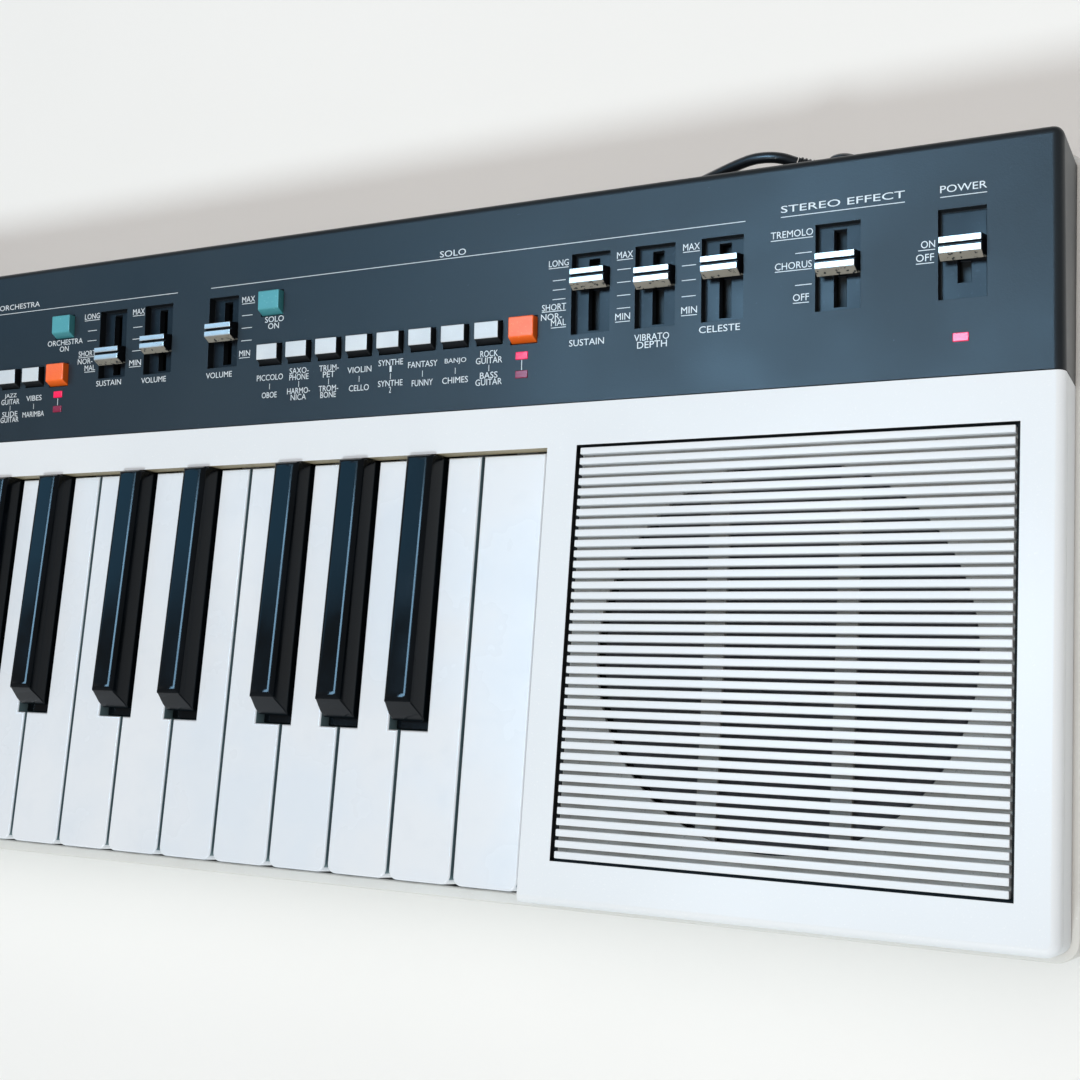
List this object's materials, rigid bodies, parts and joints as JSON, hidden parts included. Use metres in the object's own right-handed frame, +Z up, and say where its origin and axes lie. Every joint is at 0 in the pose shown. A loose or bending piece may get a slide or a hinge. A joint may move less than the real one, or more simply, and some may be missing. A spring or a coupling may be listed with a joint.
{
  "type": "synthesizer",
  "caption": "Portable synthesizer keyboard with sloping control panel, slide and push controls, slotted loudspeaker grilles and a supply lead.",
  "frame": {"origin": "on the surface that the feet stand on, below the middle of the instrument without its lead", "axes": "+X to the player's right along the keys, +Y away from the player, +Z up"},
  "size_m": [0.9966, 0.2831, 0.0718],
  "materials": {
    "case_plastic": "satin, light warm grey",
    "white_plastic": "satin white",
    "black_plastic": "fine-textured satin charcoal",
    "white_key": "semi-gloss, faintly bluish white",
    "black_key": "high gloss",
    "light_button": "satin light grey",
    "orange_button": "satin orange",
    "teal_button": "satin blue-green",
    "slider_cap": "silvered plastic with worn black sides",
    "circuit_board": "brown laminate",
    "frame_steel": "zinc-plated sheet",
    "speaker_metal": "black-painted basket with paper cone",
    "black_rubber": "matt black vinyl"
  },
  "bodies": {
    "case": {"bottom_case": "case_plastic", "battery_door": "case_plastic", "top_cover": "white_plastic", "control_panel": "black_plastic", "main_circuit_board": "circuit_board", "key_frame": "frame_steel", "speaker_grille_left": "white_plastic", "speaker_grille_right": "white_plastic", "speaker_driver_left": "speaker_metal", "speaker_driver_right": "speaker_metal", "supply_socket": "black_rubber", "cord_plug": "black_rubber", "supply_cord": "black_rubber", "cord_coil": "black_rubber", "mains_adapter": "black_rubber"},
    "lower_white_keys": {"lower_white_keys": "white_key"},
    "lower_black_keys": {"lower_black_keys": "black_key"},
    "white_key_a4": {"white_key_a4": "white_key"},
    "white_key_b4": {"white_key_b4": "white_key"},
    "white_key_c5": {"white_key_c5": "white_key"},
    "white_key_d5": {"white_key_d5": "white_key"},
    "white_key_e5": {"white_key_e5": "white_key"},
    "white_key_f5": {"white_key_f5": "white_key"},
    "white_key_g5": {"white_key_g5": "white_key"},
    "white_key_a5": {"white_key_a5": "white_key"},
    "white_key_b5": {"white_key_b5": "white_key"},
    "white_key_c6": {"white_key_c6": "white_key"},
    "black_key_g_sharp_4": {"black_key_g_sharp_4": "black_key"},
    "black_key_a_sharp_4": {"black_key_a_sharp_4": "black_key"},
    "black_key_c_sharp_5": {"black_key_c_sharp_5": "black_key"},
    "black_key_d_sharp_5": {"black_key_d_sharp_5": "black_key"},
    "black_key_f_sharp_5": {"black_key_f_sharp_5": "black_key"},
    "black_key_g_sharp_5": {"black_key_g_sharp_5": "black_key"},
    "black_key_a_sharp_5": {"black_key_a_sharp_5": "black_key"},
    "orchestra_sustain_slider": {"orchestra_sustain_slider": "slider_cap"},
    "orchestra_volume_slider": {"orchestra_volume_slider": "slider_cap"},
    "solo_volume_slider": {"solo_volume_slider": "slider_cap"},
    "solo_sustain_slider": {"solo_sustain_slider": "slider_cap"},
    "vibrato_depth_slider": {"vibrato_depth_slider": "slider_cap"},
    "celeste_slider": {"celeste_slider": "slider_cap"},
    "stereo_effect_slider": {"stereo_effect_slider": "slider_cap"},
    "tempo_slider": {"tempo_slider": "slider_cap"},
    "rhythm_volume_slider": {"rhythm_volume_slider": "slider_cap"},
    "bass_volume_slider": {"bass_volume_slider": "slider_cap"},
    "power_switch": {"power_switch": "slider_cap"},
    "solo_voice_button_1": {"solo_voice_button_1": "light_button"},
    "solo_voice_button_2": {"solo_voice_button_2": "light_button"},
    "solo_voice_button_3": {"solo_voice_button_3": "light_button"},
    "solo_voice_button_4": {"solo_voice_button_4": "light_button"},
    "solo_voice_button_5": {"solo_voice_button_5": "light_button"},
    "solo_voice_button_6": {"solo_voice_button_6": "light_button"},
    "solo_voice_button_7": {"solo_voice_button_7": "light_button"},
    "solo_voice_button_8": {"solo_voice_button_8": "light_button"},
    "solo_variation_button": {"solo_variation_button": "orange_button"},
    "solo_on_button": {"solo_on_button": "teal_button"},
    "orchestra_voice_button_7": {"orchestra_voice_button_7": "light_button"},
    "orchestra_voice_button_8": {"orchestra_voice_button_8": "light_button"},
    "orchestra_variation_button": {"orchestra_variation_button": "orange_button"},
    "orchestra_on_button": {"orchestra_on_button": "teal_button"},
    "left_button_bank": {"left_button_bank": "light_button"}
  },
  "joints": [
    {"name": "lower_white_keys_press", "type": "hinge", "parent": "case", "child": "lower_white_keys", "pos_m": [0, 0.06125, 0.0483], "axis": [1, 0, 0], "range_deg": [0, 3.2], "stiffness_Nm_per_rad": 3, "springref_deg": -17.19},
    {"name": "lower_black_keys_press", "type": "hinge", "parent": "case", "child": "lower_black_keys", "pos_m": [0, 0.06125, 0.0483], "axis": [1, 0, 0], "range_deg": [0, 3.2], "stiffness_Nm_per_rad": 3, "springref_deg": -17.19},
    {"name": "white_key_a4_press", "type": "hinge", "parent": "case", "child": "white_key_a4", "pos_m": [0, 0.06125, 0.0483], "axis": [1, 0, 0], "range_deg": [0, 3.2], "stiffness_Nm_per_rad": 0.2, "springref_deg": -17.19},
    {"name": "white_key_b4_press", "type": "hinge", "parent": "case", "child": "white_key_b4", "pos_m": [0, 0.06125, 0.0483], "axis": [1, 0, 0], "range_deg": [0, 3.2], "stiffness_Nm_per_rad": 0.2, "springref_deg": -17.19},
    {"name": "white_key_c5_press", "type": "hinge", "parent": "case", "child": "white_key_c5", "pos_m": [0, 0.06125, 0.0483], "axis": [1, 0, 0], "range_deg": [0, 3.2], "stiffness_Nm_per_rad": 0.2, "springref_deg": -17.19},
    {"name": "white_key_d5_press", "type": "hinge", "parent": "case", "child": "white_key_d5", "pos_m": [0, 0.06125, 0.0483], "axis": [1, 0, 0], "range_deg": [0, 3.2], "stiffness_Nm_per_rad": 0.2, "springref_deg": -17.19},
    {"name": "white_key_e5_press", "type": "hinge", "parent": "case", "child": "white_key_e5", "pos_m": [0, 0.06125, 0.0483], "axis": [1, 0, 0], "range_deg": [0, 3.2], "stiffness_Nm_per_rad": 0.2, "springref_deg": -17.19},
    {"name": "white_key_f5_press", "type": "hinge", "parent": "case", "child": "white_key_f5", "pos_m": [0, 0.06125, 0.0483], "axis": [1, 0, 0], "range_deg": [0, 3.2], "stiffness_Nm_per_rad": 0.2, "springref_deg": -17.19},
    {"name": "white_key_g5_press", "type": "hinge", "parent": "case", "child": "white_key_g5", "pos_m": [0, 0.06125, 0.0483], "axis": [1, 0, 0], "range_deg": [0, 3.2], "stiffness_Nm_per_rad": 0.2, "springref_deg": -17.19},
    {"name": "white_key_a5_press", "type": "hinge", "parent": "case", "child": "white_key_a5", "pos_m": [0, 0.06125, 0.0483], "axis": [1, 0, 0], "range_deg": [0, 3.2], "stiffness_Nm_per_rad": 0.2, "springref_deg": -17.19},
    {"name": "white_key_b5_press", "type": "hinge", "parent": "case", "child": "white_key_b5", "pos_m": [0, 0.06125, 0.0483], "axis": [1, 0, 0], "range_deg": [0, 3.2], "stiffness_Nm_per_rad": 0.2, "springref_deg": -17.19},
    {"name": "white_key_c6_press", "type": "hinge", "parent": "case", "child": "white_key_c6", "pos_m": [0, 0.06125, 0.0483], "axis": [1, 0, 0], "range_deg": [0, 3.2], "stiffness_Nm_per_rad": 0.2, "springref_deg": -17.19},
    {"name": "black_key_g_sharp_4_press", "type": "hinge", "parent": "case", "child": "black_key_g_sharp_4", "pos_m": [0, 0.06125, 0.0483], "axis": [1, 0, 0], "range_deg": [0, 3.2], "stiffness_Nm_per_rad": 0.2, "springref_deg": -17.19},
    {"name": "black_key_a_sharp_4_press", "type": "hinge", "parent": "case", "child": "black_key_a_sharp_4", "pos_m": [0, 0.06125, 0.0483], "axis": [1, 0, 0], "range_deg": [0, 3.2], "stiffness_Nm_per_rad": 0.2, "springref_deg": -17.19},
    {"name": "black_key_c_sharp_5_press", "type": "hinge", "parent": "case", "child": "black_key_c_sharp_5", "pos_m": [0, 0.06125, 0.0483], "axis": [1, 0, 0], "range_deg": [0, 3.2], "stiffness_Nm_per_rad": 0.2, "springref_deg": -17.19},
    {"name": "black_key_d_sharp_5_press", "type": "hinge", "parent": "case", "child": "black_key_d_sharp_5", "pos_m": [0, 0.06125, 0.0483], "axis": [1, 0, 0], "range_deg": [0, 3.2], "stiffness_Nm_per_rad": 0.2, "springref_deg": -17.19},
    {"name": "black_key_f_sharp_5_press", "type": "hinge", "parent": "case", "child": "black_key_f_sharp_5", "pos_m": [0, 0.06125, 0.0483], "axis": [1, 0, 0], "range_deg": [0, 3.2], "stiffness_Nm_per_rad": 0.2, "springref_deg": -17.19},
    {"name": "black_key_g_sharp_5_press", "type": "hinge", "parent": "case", "child": "black_key_g_sharp_5", "pos_m": [0, 0.06125, 0.0483], "axis": [1, 0, 0], "range_deg": [0, 3.2], "stiffness_Nm_per_rad": 0.2, "springref_deg": -17.19},
    {"name": "black_key_a_sharp_5_press", "type": "hinge", "parent": "case", "child": "black_key_a_sharp_5", "pos_m": [0, 0.06125, 0.0483], "axis": [1, 0, 0], "range_deg": [0, 3.2], "stiffness_Nm_per_rad": 0.2, "springref_deg": -17.19},
    {"name": "orchestra_sustain_slider_slide", "type": "slide", "parent": "case", "child": "orchestra_sustain_slider", "axis": [0, 0.9945, 0.1045], "range_m": [-0.00535, 0.01335]},
    {"name": "orchestra_volume_slider_slide", "type": "slide", "parent": "case", "child": "orchestra_volume_slider", "axis": [0, 0.9945, 0.1045], "range_m": [-0.00795, 0.01075]},
    {"name": "solo_volume_slider_slide", "type": "slide", "parent": "case", "child": "solo_volume_slider", "axis": [0, 0.9945, 0.1045], "range_m": [-0.00975, 0.00895]},
    {"name": "solo_sustain_slider_slide", "type": "slide", "parent": "case", "child": "solo_sustain_slider", "axis": [0, 0.9945, 0.1045], "range_m": [-0.01435, 0.00435]},
    {"name": "vibrato_depth_slider_slide", "type": "slide", "parent": "case", "child": "vibrato_depth_slider", "axis": [0, 0.9945, 0.1045], "range_m": [-0.01245, 0.00625]},
    {"name": "celeste_slider_slide", "type": "slide", "parent": "case", "child": "celeste_slider", "axis": [0, 0.9945, 0.1045], "range_m": [-0.01345, 0.00525]},
    {"name": "stereo_effect_slider_slide", "type": "slide", "parent": "case", "child": "stereo_effect_slider", "axis": [0, 0.9945, 0.1045], "range_m": [-0.01055, 0.00815]},
    {"name": "tempo_slider_slide", "type": "slide", "parent": "case", "child": "tempo_slider", "axis": [0, 0.9945, 0.1045], "range_m": [-0.00935, 0.00935]},
    {"name": "rhythm_volume_slider_slide", "type": "slide", "parent": "case", "child": "rhythm_volume_slider", "axis": [0, 0.9945, 0.1045], "range_m": [-0.01145, 0.00725]},
    {"name": "bass_volume_slider_slide", "type": "slide", "parent": "case", "child": "bass_volume_slider", "axis": [0, 0.9945, 0.1045], "range_m": [-0.00695, 0.01175]},
    {"name": "power_switch_slide", "type": "slide", "parent": "case", "child": "power_switch", "axis": [0, 0.9945, 0.1045], "range_m": [-0.0037, 0]},
    {"name": "solo_voice_button_1_press", "type": "slide", "parent": "case", "child": "solo_voice_button_1", "axis": [0, 0.1045, -0.9945], "range_m": [0, 0.002], "stiffness_N_per_m": 250, "springref_m": -0.002},
    {"name": "solo_voice_button_2_press", "type": "slide", "parent": "case", "child": "solo_voice_button_2", "axis": [0, 0.1045, -0.9945], "range_m": [0, 0.002], "stiffness_N_per_m": 250, "springref_m": -0.002},
    {"name": "solo_voice_button_3_press", "type": "slide", "parent": "case", "child": "solo_voice_button_3", "axis": [0, 0.1045, -0.9945], "range_m": [0, 0.002], "stiffness_N_per_m": 250, "springref_m": -0.002},
    {"name": "solo_voice_button_4_press", "type": "slide", "parent": "case", "child": "solo_voice_button_4", "axis": [0, 0.1045, -0.9945], "range_m": [0, 0.002], "stiffness_N_per_m": 250, "springref_m": -0.002},
    {"name": "solo_voice_button_5_press", "type": "slide", "parent": "case", "child": "solo_voice_button_5", "axis": [0, 0.1045, -0.9945], "range_m": [0, 0.002], "stiffness_N_per_m": 250, "springref_m": -0.002},
    {"name": "solo_voice_button_6_press", "type": "slide", "parent": "case", "child": "solo_voice_button_6", "axis": [0, 0.1045, -0.9945], "range_m": [0, 0.002], "stiffness_N_per_m": 250, "springref_m": -0.002},
    {"name": "solo_voice_button_7_press", "type": "slide", "parent": "case", "child": "solo_voice_button_7", "axis": [0, 0.1045, -0.9945], "range_m": [0, 0.002], "stiffness_N_per_m": 250, "springref_m": -0.002},
    {"name": "solo_voice_button_8_press", "type": "slide", "parent": "case", "child": "solo_voice_button_8", "axis": [0, 0.1045, -0.9945], "range_m": [0, 0.002], "stiffness_N_per_m": 250, "springref_m": -0.002},
    {"name": "solo_variation_button_press", "type": "slide", "parent": "case", "child": "solo_variation_button", "axis": [0, 0.1045, -0.9945], "range_m": [0, 0.002], "stiffness_N_per_m": 250, "springref_m": -0.002},
    {"name": "solo_on_button_press", "type": "slide", "parent": "case", "child": "solo_on_button", "axis": [0, 0.1045, -0.9945], "range_m": [0, 0.002], "stiffness_N_per_m": 250, "springref_m": -0.002},
    {"name": "orchestra_voice_button_7_press", "type": "slide", "parent": "case", "child": "orchestra_voice_button_7", "axis": [0, 0.1045, -0.9945], "range_m": [0, 0.002], "stiffness_N_per_m": 250, "springref_m": -0.002},
    {"name": "orchestra_voice_button_8_press", "type": "slide", "parent": "case", "child": "orchestra_voice_button_8", "axis": [0, 0.1045, -0.9945], "range_m": [0, 0.002], "stiffness_N_per_m": 250, "springref_m": -0.002},
    {"name": "orchestra_variation_button_press", "type": "slide", "parent": "case", "child": "orchestra_variation_button", "axis": [0, 0.1045, -0.9945], "range_m": [0, 0.002], "stiffness_N_per_m": 250, "springref_m": -0.002},
    {"name": "orchestra_on_button_press", "type": "slide", "parent": "case", "child": "orchestra_on_button", "axis": [0, 0.1045, -0.9945], "range_m": [0, 0.002], "stiffness_N_per_m": 250, "springref_m": -0.002},
    {"name": "left_button_bank_press", "type": "slide", "parent": "case", "child": "left_button_bank", "axis": [0, 0.1045, -0.9945], "range_m": [0, 0.002], "stiffness_N_per_m": 900, "springref_m": -0.002}
  ]
}
